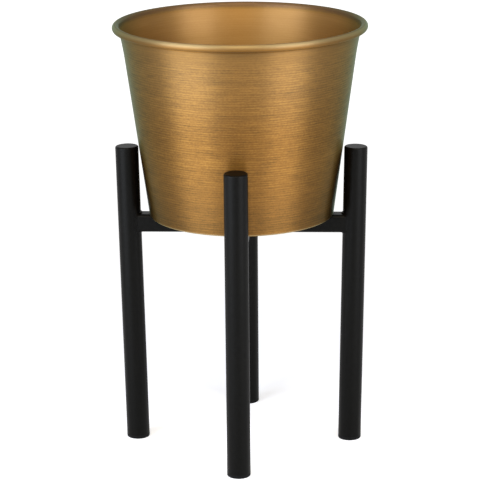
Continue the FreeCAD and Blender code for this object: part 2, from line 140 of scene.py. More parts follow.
def skin(name, grid, body, nodes, poles=None):
    """Mesh over grids of points, copies x rows x columns x 3, in millimetres.

    Rows follow a section and columns go round and close. A section without poles is a loop, so its last row
    joins its first. With poles, a fan of triangles joins each end row to its pole. Faces are turned round if
    the volume they enclose, a sixth of the sum of a . (b x c) over the triangles, comes out negative."""
    copies, rows, columns = grid.shape[:3]
    points = grid.reshape(-1, 3)
    index = np.arange(len(points)).reshape(copies, rows, columns)
    ring = np.concatenate([index, index[:, :, :1]], axis=2)
    if poles is None:
        ring = np.concatenate([ring, ring[:, :1]], axis=1)
    quads = np.stack([ring[:, :-1, :-1], ring[:, :-1, 1:], ring[:, 1:, 1:], ring[:, 1:, :-1]], axis=-1)
    quads = quads.reshape(-1, 4)
    fans = np.empty((0, 3), int)
    if poles is not None:
        first = np.repeat(len(points) + np.arange(copies)[:, None], columns, axis=1)
        last = first + copies
        fan_in = np.stack([first, ring[:, 0, 1:], ring[:, 0, :-1]], axis=-1)
        fan_out = np.stack([ring[:, -1, :-1], ring[:, -1, 1:], last], axis=-1)
        fans = np.concatenate([fan_in.reshape(-1, 3), fan_out.reshape(-1, 3)])
        points = np.concatenate([points, poles[0], poles[1]])
    corners = np.concatenate([quads[:, :3], quads[:, [0, 2, 3]], fans])
    a, b, c = (points[corners[:, k]] for k in range(3))
    volume = np.einsum("ij,ij->", a, np.cross(b, c)) / 6
    if volume < 0:
        quads = quads[:, ::-1]
        fans = fans[:, ::-1]
    mesh = bpy.data.meshes.new(name)
    mesh.from_pydata((points * MM).tolist(), [], quads.tolist() + fans.tolist())
    mesh.shade_smooth()
    mesh.set_sharp_from_angle(angle=np.radians(SHARP_ANGLE))
    piece = bpy.data.objects.new(name, mesh)
    bpy.context.scene.collection.objects.link(piece)
    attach(piece, body)
    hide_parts(*nodes)
    print(f"{name}: {len(quads) * 2 + len(fans)} triangles, {abs(volume) / 1000:.2f} cm3")
    return piece


def arc(centre, radius, start, end, step=5.0):
    """Points on a circle between two angles in degrees: centre + radius x (cos, sin)."""
    count = int(np.ceil(abs(end - start) / step)) + 1
    angle = np.radians(np.linspace(start, end, count))
    return np.stack([centre[0] + radius * np.cos(angle), centre[1] + radius * np.sin(angle)], axis=-1)


def run(start, end, count):
    """Points on a straight line, crowded towards its ends: start + (end - start) x (1 - cos(pi t)) / 2."""
    share = (1 - np.cos(np.pi * np.linspace(0, 1, count))) / 2
    return np.outer(1 - share, start) + np.outer(share, end)


# Lengths that differ by less than this count as the same.
NEAR = 1e-4


def section(*stretches):
    """One outline from stretches that meet end to end, with each shared point kept once."""
    points = np.concatenate(stretches)
    step = np.linalg.norm(points - np.roll(points, 1, axis=0), axis=1)
    return points[step > NEAR]


def spin(outline, count):
    """Carry a section round the upright axis: (r, z) becomes (r cos t, r sin t, z)."""
    turn = np.linspace(0, 2 * np.pi, count, endpoint=False)
    r = outline[:, :1]
    z = outline[:, 1:]
    return np.stack([r * np.cos(turn), r * np.sin(turn), z + 0 * turn], axis=-1)


# %% [markdown]
# ## The pot's wall
# The real wall is one sheet: a hem turned in at the bottom, a tight bend, a straight taper, a slight flare,
# and a rim that is curled outwards until its lip almost meets the wall again. It could be a solid cone with
# a torus on top, but the shadow under the curl and the open lip need the true sheet. Its section is drawn as
# arcs and lines round both faces, and spun in finer steps than the CAD mesh has, the same all the way up.

# %% Pot wall
SHEET = 0.9
BEAD_R = 2.9
LIP_GAP = 0.6
FLARE_R = 250.0
FLARE_TURN = 6.0
BEND_R = 1.6
HEM_WIDTH = 8.0
BASE_R = 75.5
# Steps round the axis, rows of points along the straight stretches, and degrees per step on the two faces of
# the flare.
POT_STEPS = 288
HEM_ROWS = 6
WALL_ROWS = 24
FLARE_STEP = 0.125
FLARE_STEP_INSIDE = 0.5


def on_circle(centre, radius, angle):
    """The point at an angle on a circle: centre + radius x (cos, sin)."""
    return centre + radius * np.array([np.cos(np.radians(angle)), np.sin(np.radians(angle))])


wall_low, wall_high = (np.array(corner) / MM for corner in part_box("pot_wall"))
seat = wall_low[2]
rim_top = wall_high[2]
rim_r = wall_high[0]
bend_out_r = BEND_R + SHEET
curl_r = BEAD_R - SHEET
reach = FLARE_R - curl_r
# The middles of the bottom bend and the rim's bead, and further down that of the flare: radius and height.
low_bend = np.array([BASE_R - bend_out_r, seat + bend_out_r])
bead = np.array([rim_r - BEAD_R, rim_top - BEAD_R])
span = bead - low_bend
# The wall is the line that touches the bottom bend from outside and the flare from inside.
spread = bend_out_r + FLARE_R - reach * np.cos(np.radians(FLARE_TURN))
taper = np.degrees(np.arccos(spread / np.hypot(*span)) - np.arctan2(span[1], span[0]))
flare_low = 180 - taper
flare_high = flare_low - FLARE_TURN
flare = on_circle(bead, reach, flare_high - 180)
# The curl ends where its lip is LIP_GAP off the wall, by the law of cosines on bead, flare and lip.
lip_share = (BEAD_R ** 2 + reach ** 2 - (FLARE_R - LIP_GAP) ** 2) / (2 * BEAD_R * reach)
lip = flare_high - 180 - np.degrees(np.arccos(lip_share))
print(f"wall: taper {taper:.2f} degrees, curl ends at {lip:.0f} degrees")


def wall_section():
    """Outside first, from the hem up and round inside the curl, then back down the inside face."""
    hem_end = low_bend[0] - HEM_WIDTH
    outside = section(
        run((hem_end, seat), (low_bend[0], seat), HEM_ROWS),
        arc(low_bend, bend_out_r, -90, -taper),
        run(on_circle(low_bend, bend_out_r, -taper), on_circle(flare, FLARE_R, flare_low), WALL_ROWS),
        arc(flare, FLARE_R, flare_low, flare_high, FLARE_STEP),
        arc(bead, curl_r, flare_high, lip),
    )
    inside = section(
        arc(bead, BEAD_R, lip, flare_high),
        arc(flare, FLARE_R + SHEET, flare_high, flare_low, FLARE_STEP_INSIDE),
        run(on_circle(flare, FLARE_R + SHEET, flare_low), on_circle(low_bend, BEND_R, -taper), WALL_ROWS),
        arc(low_bend, BEND_R, -taper, -90),
        run((low_bend[0], seat + SHEET), (hem_end, seat + SHEET), HEM_ROWS),
    )
    return outside, inside


# %% [markdown]
# A belt brushed the outside in rings, and left the inside nearly plain. Light and shade are painted into the
# lacquer's colour too: painted light towards the top and painted shade low down, a painted highlight on the
# rim's crest and a painted reflection on the bottom bend, where the colour pales, and painted shade in the
# crease under the curl and inside, just below the crest. A UV map could tell the finish where it is, but it
# would have a seam. Here each point carries three values instead: its place on the unrolled brush track (two
# coordinates round the axis, which meet without a seam, and the distance along the section), how deep the
# brush cut there, and how much painted light or shade it has.

# %% Brush track on a turned piece
# About the pot's middle radius, so that a mark's length on the track is about true.
TRACK_R = 85.0


def add_brush_track(piece, outline, count, depth, painted_light, poles=0):
    """Track = (R cos t, R sin t, length along the section), in millimetres; depth is 1 where fully brushed.

    The painted light and shade is 0 where the colour is left alone, up to 1 where a painted highlight or
    reflection pales it, and down to -1 where painted shade darkens it."""
    turn = np.linspace(0, 2 * np.pi, count, endpoint=False)
    step = np.linalg.norm(np.diff(outline, axis=0), axis=1)
    length = np.concatenate([[0], np.cumsum(step)])[:, None]
    track = np.stack([TRACK_R * np.cos(turn) + 0 * length, TRACK_R * np.sin(turn) + 0 * length,
                      length + 0 * turn], axis=-1).reshape(-1, 3)
    ends = np.repeat(length[[0, -1]], 3, axis=1) * [0, 0, 1]
    track = np.concatenate([track, ends[:poles]])
    places = piece.data.attributes.new("brush_track", "FLOAT_VECTOR", "POINT")
    places.data.foreach_set("vector", track.ravel())
    for name, rings in (("brush_depth", depth), ("painted_light_and_shade", painted_light)):
        values = np.concatenate([np.repeat(rings, count), rings[[0, -1]][:poles]])
        piece.data.attributes.new(name, "FLOAT", "POINT").data.foreach_set("value", values)


def hump(value, middle, width):
    """A smooth rise and fall: exp(-((value - middle) / width) squared)."""
    return np.exp(-((value - middle) / width) ** 2)


def ease(value, start, end):
    """From 0 at start to 1 at end without corners: 3 s squared less 2 s cubed, s the share of the way."""
    share = np.clip((value - start) / (end - start), 0, 1)
    return share ** 2 * (3 - 2 * share)


# %% How deep the brush cut the wall
INSIDE_DEPTH = 0.3
BELT_CLEARANCE = 23.0
LOW_RELIEF = 0.25
RELIEF_HEIGHTS = (20.0, 80.0)
wall_outside, wall_inside = wall_section()
wall_outline = np.concatenate([wall_outside, wall_inside])
# Just under the rim the belt lifts off, and low down it presses more lightly, so the lines fade there.
above_seat = wall_outside[:, 1] - seat
below_rim = np.clip((rim_top - wall_outside[:, 1]) / BELT_CLEARANCE, INSIDE_DEPTH, 1)
pressure = 1 - LOW_RELIEF * (1 - ease(above_seat, *RELIEF_HEIGHTS))
wall_depth = np.concatenate([below_rim * pressure, np.full(len(wall_inside), INSIDE_DEPTH)])
print(f"brush depth: {wall_depth.min():.2f} to {wall_depth.max():.2f}")

# %% Painted light and shade on the wall
# Painted light: the wall pales towards the top and darkens towards the bottom, by these amounts, between
# these heights above the seat.
PAINTED_TOP_LIGHT = 0.085
PAINTED_TOP_HEIGHTS = (70.0, 140.0)
PAINTED_LOW_SHADE = 0.33
PAINTED_LOW_HEIGHTS = (0.0, 50.0)
# Painted shade in the crease under the curl, where the lip nearly meets the wall: its strength, its drop
# below the bead's middle and its width.
CREASE_SHADE_STRENGTH = 0.5
CREASE_SHADE_DROP = 1.25 * BEAD_R
CREASE_SHADE_WIDTH = 0.5
# Painted light round a middle, with a width: a painted reflection round a height on the bottom bend, and a
# painted highlight round an angle on the rim's bead.
PAINTED_EDGE_LIGHT = 0.45
PAINTED_BEND_REFLECTION = (1.0, 0.8)
PAINTED_CREST_HIGHLIGHT = (42.0, 40.0)
# The painted shade inside the rim sets in between these angles on the bead. Further in it fades downwards
# between these heights, which count from the bead's middle.
INNER_SHADE_ANGLES = (65.0, 95.0)
INNER_SHADE_HEIGHTS = (-4.5, 0.7)
# Painted light near the top and painted shade low down.
height_light_and_shade = PAINTED_TOP_LIGHT * ease(above_seat, *PAINTED_TOP_HEIGHTS) - PAINTED_LOW_SHADE * (1 - ease(above_seat, *PAINTED_LOW_HEIGHTS))
# Painted shade: a dark line in the crease under the curl.
painted_crease_shade = CREASE_SHADE_STRENGTH * hump(wall_outside[:, 1], bead[1] - CREASE_SHADE_DROP, CREASE_SHADE_WIDTH)
# A painted reflection of the floor: a pale line along the bottom bend.
bend_reflection = hump(above_seat, *PAINTED_BEND_REFLECTION)
off_bead = wall_inside - bead
on_bead = np.hypot(*off_bead.T) < BEAD_R + NEAR
round_bead = np.degrees(np.arctan2(off_bead[:, 1], off_bead[:, 0]))
# A painted highlight on the rim's crest, where the lamps shine on the bead.
crest_highlight = on_bead * hump(round_bead, *PAINTED_CREST_HIGHLIGHT)
# Painted shade inside, just below the crest, where the rim shades the wall.
inner_shade = np.where(on_bead, ease(round_bead, *INNER_SHADE_ANGLES), ease(off_bead[:, 1], *INNER_SHADE_HEIGHTS))
wall_painted_light = np.concatenate([height_light_and_shade - painted_crease_shade + (PAINTED_EDGE_LIGHT - height_light_and_shade) * bend_reflection,
                            PAINTED_EDGE_LIGHT * crest_highlight - inner_shade])
# The range of the painted light and shade on the wall.
print(f"lacquer thinness: {wall_painted_light.min():.2f} to {wall_painted_light.max():.2f}")

# %% Pot shell
# Past this angle on the bead the sheet's inner face begins, which the belt left plain.
PLAIN_FROM = 80.0
pot_shell = skin("pot_shell", spin(wall_outline, POT_STEPS)[None], "pot", ["pot_wall"])
add_brush_track(pot_shell, wall_outline, POT_STEPS, wall_depth, wall_painted_light)
inner_face = np.concatenate([np.zeros(len(wall_outside), bool), ~on_bead | (round_bead > PLAIN_FROM)])
pot_shell.data.polygons.foreach_set("material_index", np.repeat(inner_face.astype(np.int32), POT_STEPS))
print(f"inner face of the sheet: {inner_face.sum()} of {len(inner_face)} rings")

# %% [markdown]
# ## The pot's base
# A pressed dish closes the bottom: a flat floor, a bend and a short flange, resting on the wall's hem. Only
# someone looking into the pot or under it sees it. A plain disc would close the pot too, but without the
# flange. The dish is spun like the wall, and its section starts and ends on the axis, so the middle of the
# floor is closed by two fans.

# %% Base dish
DISH_FLANGE = 8.0
DISH_GAP = 0.15
FLOOR_ROWS = 20
FLANGE_ROWS = 5


def dish_section():
    """Underside outwards, round the bend, up the flange, back down its inside and in along the floor.

    With n = (cos, -sin) of the wall's lean, and heights from the seat, n . p is wall_offset on the wall's
    outside. It is room at the middle of the dish's bend, so the flange clears the wall by DISH_GAP."""
    lean = np.radians(taper)
    wall_offset = low_bend[0] * np.cos(lean) - bend_out_r * np.sin(lean) + bend_out_r
    bend_up = bend_out_r + SHEET
    room = wall_offset - SHEET - DISH_GAP - bend_out_r
    bend = np.array([(room + bend_up * np.sin(lean)) / np.cos(lean), seat + bend_up])
    rise = DISH_FLANGE * np.array([np.sin(lean), np.cos(lean)])
    foot_out = on_circle(bend, bend_out_r, -taper)
    foot_in = on_circle(bend, BEND_R, -taper)
    under = seat + SHEET
    floor = under + SHEET
    return section(
        run((0, under), (bend[0], under), FLOOR_ROWS),
        arc(bend, bend_out_r, -90, -taper),
        run(foot_out, foot_out + rise, FLANGE_ROWS),
        run(foot_in + rise, foot_in, FLANGE_ROWS),
        arc(bend, BEND_R, -taper, -90),
        run((bend[0], floor), (0, floor), FLOOR_ROWS),
    )


dish_outline = dish_section()
dish_rings = dish_outline[1:-1]
dish_poles = [np.array([[0, 0, dish_outline[end][1]]]) for end in (0, -1)]
dish_grid = spin(dish_rings, POT_STEPS)[None]
base_dish = skin("base_dish", dish_grid, "pot", ["pot_base"], dish_poles)
dish_depth = np.full(len(dish_rings), INSIDE_DEPTH)
add_brush_track(base_dish, dish_rings, POT_STEPS, dish_depth, 0 * dish_depth, poles=2)

# %% [markdown]
# ## The welds
# The bars are joined to the legs by fillet welds that run right round each bar's end. A real bead is a row of
# overlapping puddles, so its face is rounded and gently rippled, and paint softens it further. The CAD has a
# flat bevel there. Here the bead's cross-section is carried round the bar's outline: one toe lies on the bar,
# the other on the leg's round, and both swell and shrink with each puddle.

# %% Legs and bars, as the frame has them
LEGS = {"front": -90.0, "right": 0.0, "back": 90.0, "left": 180.0}
TOE_IN = np.radians(1.0)
LEG_R = 9.5
BAR_CORNER_R = 3.0

mounts = {mount["name"]: np.array(mount["pos_m"]) / MM for mount in frame["record"]["mounts"]}
foot_ring = np.hypot(*mounts["sole_right"][:2])
bar_low, bar_high = (np.array(corner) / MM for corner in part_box("long_crossbar"))
bar_half = (bar_high[2] - bar_low[2]) / 2
bar_mid = (bar_high[2] + bar_low[2]) / 2
print(f"legs on a ring of radius {foot_ring:.1f} mm, bars {2 * bar_half:.0f} mm square")


def bar_outline(count):
    """Points evenly round a rounded square, with their outward directions and their length along it."""
    flat = bar_half - BAR_CORNER_R
    length = 8 * flat + 2 * np.pi * BAR_CORNER_R
    place = np.linspace(0, length, count, endpoint=False)
    quarter = length / 4
    side = np.floor(place / quarter)
    along = place - side * quarter
    bend = np.clip((along - 2 * flat) / BAR_CORNER_R, 0, None)
    straight = np.minimum(along, 2 * flat) - flat
    normal = side * np.pi / 2 + bend
    facing = side * np.pi / 2
    out = np.stack([np.cos(normal), np.sin(normal)], axis=-1)
    middle = np.stack([np.cos(facing), np.sin(facing)], axis=-1)
    tangent = np.stack([-np.sin(facing), np.cos(facing)], axis=-1)
    centre = middle * flat + tangent * straight[:, None]
    return centre + out * BAR_CORNER_R, out, place


def on_leg_surface(across, height):
    """Radius where a level line meets a leaning leg: its axis less R cos(b), where across is R sin(b)."""
    angle = np.arcsin(across / LEG_R)
    return foot_ring + height * np.tan(TOE_IN) - LEG_R * np.cos(angle) / np.cos(TOE_IN)


# %% Weld beads round the bar ends
WELD_LEG = 1.4
BEAD_STEPS = 260
PUDDLE_PITCH = 2.0
PUDDLE_SWELL = 0.10
FACE_POINTS = 9
FACE_BULGE = 0.28


def weld_bead(direction):
    """Cross-section: toe on the bar, rounded face, toe on the leg, root in the corner; carried round the bar.

    Each toe is WELD_LEG from the corner, times 1 - swell + swell x |sin| of the length, which makes one crest
    a puddle. The face bulges from the straight line between the toes by a parabola."""
    outline, out, place = bar_outline(BEAD_STEPS)
    puddles = np.round(place[-1] / PUDDLE_PITCH)
    crest = np.abs(np.sin(np.pi * puddles * np.arange(BEAD_STEPS) / BEAD_STEPS))
    leg_size = WELD_LEG * (1 - PUDDLE_SWELL + PUDDLE_SWELL * crest)
    across, height = outline[:, 0], bar_mid + outline[:, 1]
    corner_line = np.stack([on_leg_surface(across, height), across, height], axis=-1)
    bar_toe = corner_line - leg_size[:, None] * np.array([1.0, 0, 0])
    moved = LEG_R * np.sin(np.arcsin(across / LEG_R) + out[:, 0] * leg_size / LEG_R)
    lifted = height + out[:, 1] * leg_size
    leg_toe = np.stack([on_leg_surface(moved, lifted), moved, lifted], axis=-1)
    share = np.linspace(0, 1, FACE_POINTS)[:, None, None]
    outwards = (bar_toe + leg_toe) / 2 - corner_line
    face = bar_toe + (leg_toe - bar_toe) * share + outwards * FACE_BULGE * 4 * share * (1 - share)
    rows = np.concatenate([face, corner_line[None]])
    turn = np.radians(direction)
    spokes = np.array([[np.cos(turn), np.sin(turn), 0], [-np.sin(turn), np.cos(turn), 0], [0, 0, 1]])
    return rows @ spokes


for side, direction in LEGS.items():
    name = f"weld_bead_{side}"
    skin(name, weld_bead(direction)[None], "stand", [f"leg_weld_{side}"])

# %% [markdown]
# Under the pot the two half bars butt against the long bar, and four upright beads fill the corners. They are
# the same weld on a straight line, so the section is carried up the corner and drawn to a point at each end.

# %% Weld beads of the hub
HUB_ROWS = 40
HUB_END_POWER = 8
weld_low, weld_high = (np.array(corner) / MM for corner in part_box("hub_welds"))


def hub_beads():
    """A rounded triangle in the corner, scaled along its height by a puddle crest and a rounded end.

    The end is the root of 1 - s to the power HUB_END_POWER, with s from -1 at the foot to 1 at the top."""
    share = np.linspace(0, 1, HUB_ROWS + 2)[1:-1]
    rise = weld_low[2] + (weld_high[2] - weld_low[2]) * share
    ends = np.sqrt(1 - (2 * share - 1) ** HUB_END_POWER)
    puddles = np.round((weld_high[2] - weld_low[2]) / PUDDLE_PITCH)
    crest = np.abs(np.sin(np.pi * puddles * share))
    size = WELD_LEG * ends * (1 - PUDDLE_SWELL + PUDDLE_SWELL * crest)
    face = np.linspace(0, 1, FACE_POINTS)
    bulge = FACE_BULGE * 2 * face * (1 - face)
    x = np.concatenate([[0], 1 - face + bulge])
    y = np.concatenate([[0], face + bulge])
    columns = np.stack([bar_half + np.outer(size, x), bar_half + np.outer(size, y),
                        np.repeat(rise[:, None], FACE_POINTS + 1, axis=1)], axis=-1)
    tips = np.array([[bar_half, bar_half, weld_low[2]], [bar_half, bar_half, weld_high[2]]])
    turn = np.radians([0, 90, 180, 270])
    nothing = 0 * turn
    quarter = np.stack([np.stack([np.cos(turn), np.sin(turn), nothing], -1),
                        np.stack([-np.sin(turn), np.cos(turn), nothing], -1),
                        np.stack([nothing, nothing, nothing + 1], -1)], axis=1)
    grids = np.einsum("rci,kij->krcj", columns, quarter)
    poles = np.einsum("pi,kij->pkj", tips, quarter)
    return grids, poles


hub_grids, hub_poles = hub_beads()
skin("weld_beads_hub", hub_grids, "stand", ["hub_welds"], hub_poles)

# %% [markdown]
# ## Finishes
# Each finish is a node material. Painted images could be used, but they need unwrapping and blur close by.
# Nodes work a pattern out at any point, from a real size in millimetres. Colours are written as the sRGB
# values that a picture shows and turned to the linear values that light needs. One small function adds a
# node, sets it up and links it.


# %% Nodes and colours
def linear(code):
    """sRGB hex to linear RGBA: c becomes ((c + 0.055) / 1.055) to the power 2.4, or c / 12.92 if dark."""
    channels = np.array([int(code[k:k + 2], 16) for k in (0, 2, 4)]) / 255
    bright = ((channels + 0.055) / 1.055) ** 2.4
    return (*np.where(channels > 0.04045, bright, channels / 12.92).tolist(), 1.0)


def add(tree, kind, inputs=None, **settings):
    """A new node with its settings; each input takes a value or another node's output."""
    node = tree.nodes.new(kind)
    for key, value in settings.items():
        setattr(node, key, value)
    for key, value in (inputs or {}).items():
        if isinstance(value, bpy.types.NodeSocket):
            tree.links.new(value, node.inputs[key])
        else:
            node.inputs[key].default_value = value
    return node


def new_material(name, **sockets):
    """A material whose Principled shader has these constants on its own sockets."""
    material = bpy.data.materials.new(name)
    material.use_nodes = True
    shader = material.node_tree.nodes["Principled BSDF"]
    for key, value in sockets.items():
        shader.inputs[key.replace("_", " ")].default_value = value
    return material, material.node_tree, shader


# %% [markdown]
# ### Antique gold
# The pot is sheet steel, brushed in rings by a belt and coated with a clear lacquer tinted gold. The brush
# lines spread a reflection up and down far more than sideways, which is why a lamp at the side shows as an
# upright bright band. Modelled grooves would be too fine for that, so the shader does it: anisotropy, turned
# a quarter so that the long way is upright. At a glancing angle the light crosses more of the tinted lacquer,
# so the sides fall to a dark olive: a metal's specular tint sets that edge colour.

# %% Gold lacquer on brushed sheet
EDGE_TINT = linear("B2D8CB")
# The pale colour that painted highlights and reflections turn the gold towards.
PAINTED_HIGHLIGHT = linear("A69D78")
# Real brush lines are under 0.2 mm apart. They are drawn coarser, or the picture's pixels would swallow them.
RING_PITCH = 1.95
RING_DRIFT = 4.0
LINE_LENGTH = 11.0
LINE_SPACING = 1.0
FLECK_LENGTH = 1.6
FLECK_HEIGHT = 0.9
BAND_HEIGHT = 3.8
PATCH_LENGTH = 60.0
PATCH_HEIGHT = 12.0
# How far each of these moves the tone; a ring drifts by radians of its wave.
DRIFT = (-1.6, 1.6)
RING_STRENGTH = (0.07, 0.28)
LINE_TONE = (-0.22, 0.22)
FLECK_TONE = (-0.17, 0.17)
BAND_TONE = (-0.08, 0.08)
PATCH_TONE = (0.42, 0.58)
# The tones that the four colours cover, and the tones between which the roughness changes, and by how much.
COLOUR_TONES = (-0.5, 1.0)
ROUGH_TONES = (0.2, 0.8)
ROUGH_CHANGE = 0.02
GROOVE_BUMP = 0.1
GROOVE_DEPTH = 0.1
# Nearly all of a noise lies between these values.
NOISE_SPAN = (0.25, 0.75)


def gold_lacquer(name, deep_and_shade, dark, middle, light, rough, stretch):
    """Tone = patches + bands + painted light and shade + depth x (rings x strength + lines + flecks); it sets
    the colour.

    Rings are the sine of the distance along the section, with a slow drift so that their spacing varies.
    Their strength, the finer lines, the short flecks that break them up, the bands and the patches are noise,
    stretched along the brush track."""
    material, tree, shader = new_material(
        name, Metallic=1.0, Anisotropic=stretch, Anisotropic_Rotation=0.25, Specular_Tint=EDGE_TINT,
        Coat_Weight=0.08, Coat_Roughness=0.22)
    shader.distribution = "GGX"
    track = add(tree, "ShaderNodeAttribute", attribute_name="brush_track").outputs["Vector"]
    depth = add(tree, "ShaderNodeAttribute", attribute_name="brush_depth").outputs["Fac"]
    painted_light = add(tree, "ShaderNodeAttribute", attribute_name="painted_light_and_shade").outputs["Fac"]

    def marks(length, height, tones, detail=1.0):
        """Noise on the track, with marks of this length and height, spread over the given tones."""
        stretched = (1 / length, 1 / length, 1 / height)
        spot = add(tree, "ShaderNodeMapping", {"Vector": track, "Scale": stretched}).outputs["Vector"]
        cloud = add(tree, "ShaderNodeTexNoise", {
            "Vector": spot, "Scale": 1.0, "Detail": detail}).outputs["Fac"]
        return add(tree, "ShaderNodeMapRange", {
            "Value": cloud, "From Min": NOISE_SPAN[0], "From Max": NOISE_SPAN[1],
            "To Min": tones[0], "To Max": tones[1]}).outputs["Result"]

    along = add(tree, "ShaderNodeSeparateXYZ", {"Vector": track}).outputs["Z"]
    drift = marks(4 * PATCH_LENGTH, RING_DRIFT, DRIFT)
    phase = add(tree, "ShaderNodeMath", {
        0: along, 1: 2 * np.pi / RING_PITCH, 2: drift}, operation="MULTIPLY_ADD").outputs["Value"]
    ring = add(tree, "ShaderNodeMath", {0: phase}, operation="SINE").outputs["Value"]
    strength = marks(LINE_LENGTH, 3 * RING_PITCH, RING_STRENGTH)
    lines = marks(LINE_LENGTH, LINE_SPACING, LINE_TONE)
    grooves = add(tree, "ShaderNodeMath", {
        0: ring, 1: strength, 2: lines}, operation="MULTIPLY_ADD").outputs["Value"]
    flecks = marks(FLECK_LENGTH, FLECK_HEIGHT, FLECK_TONE, detail=0.0)
    flecked = add(tree, "ShaderNodeMath", {0: grooves, 1: flecks}, operation="ADD").outputs["Value"]
    cut = add(tree, "ShaderNodeMath", {0: flecked, 1: depth}, operation="MULTIPLY").outputs["Value"]
    bands = marks(PATCH_LENGTH, BAND_HEIGHT, BAND_TONE, detail=0.0)
    patches = marks(PATCH_LENGTH, PATCH_HEIGHT, PATCH_TONE)
    broad = add(tree, "ShaderNodeMath", {0: bands, 1: patches}, operation="ADD").outputs["Value"]
    # The painted light and shade joins the tone here.
    broad_and_painted = add(tree, "ShaderNodeMath", {0: painted_light, 1: broad}, operation="ADD").outputs["Value"]
    tone = add(tree, "ShaderNodeMath", {0: cut, 1: broad_and_painted}, operation="ADD").outputs["Value"]
    share = add(tree, "ShaderNodeMapRange", {
        "Value": tone, "From Min": COLOUR_TONES[0], "From Max": COLOUR_TONES[1]}).outputs["Result"]
    ramp = add(tree, "ShaderNodeValToRGB", {"Fac": share})
    # The deepest tone: deep brush lines and the painted shade.
    ramp.color_ramp.elements[0].color = linear(deep_and_shade)
    ramp.color_ramp.elements[1].color = linear(light)
    ramp.color_ramp.elements.new(1 / 3).color = linear(dark)
    ramp.color_ramp.elements.new(2 / 3).color = linear(middle)
    # Where the painted light is above 0, the colour pales towards the painted highlight.
    highlighted = add(tree, "ShaderNodeMix", {0: painted_light, 6: ramp.outputs["Color"], 7: PAINTED_HIGHLIGHT}, data_type="RGBA")
    tree.links.new(highlighted.outputs[2], shader.inputs["Base Color"])
    blur = add(tree, "ShaderNodeMapRange", {
        "Value": tone, "From Min": ROUGH_TONES[0], "From Max": ROUGH_TONES[1],
        "To Min": rough + ROUGH_CHANGE, "To Max": rough - ROUGH_CHANGE})
    tree.links.new(blur.outputs["Result"], shader.inputs["Roughness"])
    bump = add(tree, "ShaderNodeBump", {
        "Strength": GROOVE_BUMP, "Distance": GROOVE_DEPTH * MM, "Height": cut})
    tree.links.new(bump.outputs["Normal"], shader.inputs["Normal"])
    round_axis = add(tree, "ShaderNodeTangent", direction_type="RADIAL", axis="Z")
    tree.links.new(round_axis.outputs["Tangent"], shader.inputs["Tangent"])
    return material


gold = gold_lacquer(
    "gold_lacquer_on_brushed_sheet", deep_and_shade="4E3A1E", dark="634824", middle="7B5729", light="8E6730",
    rough=0.55, stretch=0.85)
# These colours are paler than the outside's: painted light for the inside of the pot, which its own wall
# shades.
plain_gold = gold_lacquer(
    "gold_lacquer_on_plain_sheet", deep_and_shade="6C5237", dark="8F6C38", middle="9A7441", light="A6804A",
    rough=0.50, stretch=0.62)
pot_shell.data.materials.append(gold)
pot_shell.data.materials.append(plain_gold)
base_dish.data.materials.append(plain_gold)
print("gold lacquer on", pot_shell.name, "and", base_dish.name)

# %% [markdown]
# ### Black powder coat
# The stand is sprayed with dry powder and baked, so the coat flows almost smooth and keeps a faint orange
# peel. It is satin: a lamp shows as a soft streak down each leg, never as a sharp picture. An even black
# would pass from afar. Two noises, the peel and a finer grain, give it a surface close by as well.

# %% Powder coat
COAT_BLACK = linear("020202")
COAT_GREY = linear("060606")
# The reflection is a trace warm, against the cool side lamps, so that the legs look neutral.
COAT_SHEEN = linear("FFFEF4")
PEEL_SIZE = 2.2
PEEL_TONES = (0.3, 0.75)
PEEL_BUMP = 0.06
PEEL_DEPTH = 0.08
GRAIN_SIZE = 0.7
GRAIN_SPAN = (0.3, 0.7)
GRAIN_SHARE = 0.25
COAT_ROUGH = (0.38, 0.44)


def powder_coat():
    """Height = peel + a share of the finer grain; the peel also sets the colour, the grain the roughness."""
    material, tree, shader = new_material(
        "satin_black_powder_coat", Specular_IOR_Level=0.085, Specular_Tint=COAT_SHEEN)
    spot = add(tree, "ShaderNodeTexCoord").outputs["Object"]
    peel = add(tree, "ShaderNodeTexNoise", {
        "Vector": spot, "Scale": 1000 / PEEL_SIZE, "Detail": 1.0}).outputs["Fac"]
    grain = add(tree, "ShaderNodeTexNoise", {
        "Vector": spot, "Scale": 1000 / GRAIN_SIZE, "Detail": 2.0}).outputs["Fac"]
    height = add(tree, "ShaderNodeMath", {
        0: grain, 1: GRAIN_SHARE, 2: peel}, operation="MULTIPLY_ADD").outputs["Value"]
    bump = add(tree, "ShaderNodeBump", {"Strength": PEEL_BUMP, "Distance": PEEL_DEPTH * MM, "Height": height})
    tree.links.new(bump.outputs["Normal"], shader.inputs["Normal"])
    ramp = add(tree, "ShaderNodeValToRGB", {"Fac": peel})
    for stop, position, colour in zip(ramp.color_ramp.elements, PEEL_TONES, (COAT_BLACK, COAT_GREY)):
        stop.position = position
        stop.color = colour
    tree.links.new(ramp.outputs["Color"], shader.inputs["Base Color"])
    rough = add(tree, "ShaderNodeMapRange", {
        "Value": grain, "From Min": GRAIN_SPAN[0], "From Max": GRAIN_SPAN[1],
        "To Min": COAT_ROUGH[0], "To Max": COAT_ROUGH[1]}).outputs["Result"]
    tree.links.new(rough, shader.inputs["Roughness"])
    return material


# %% [markdown]
# ### Black plastic
# The glides in the feet are moulded from black polyethylene. The mould was spark-eroded, which leaves a fine
# even grain and a duller black than the paint above. They could share the paint's material, but the mould's
# grain and some scuffs tell the two apart from below.

# %% Moulded plastic
PLASTIC_BLACK = linear("050505")
PLASTIC_WORN = linear("0E0E0E")
MOULD_GRAIN = 0.5
MOULD_BUMP = 0.3
MOULD_DEPTH = 0.03
SCUFF_SIZE = 4.0
SCUFF_TONES = (0.45, 0.85)
SCUFF_SPAN = (0.3, 0.7)
PLASTIC_ROUGH = (0.55, 0.7)


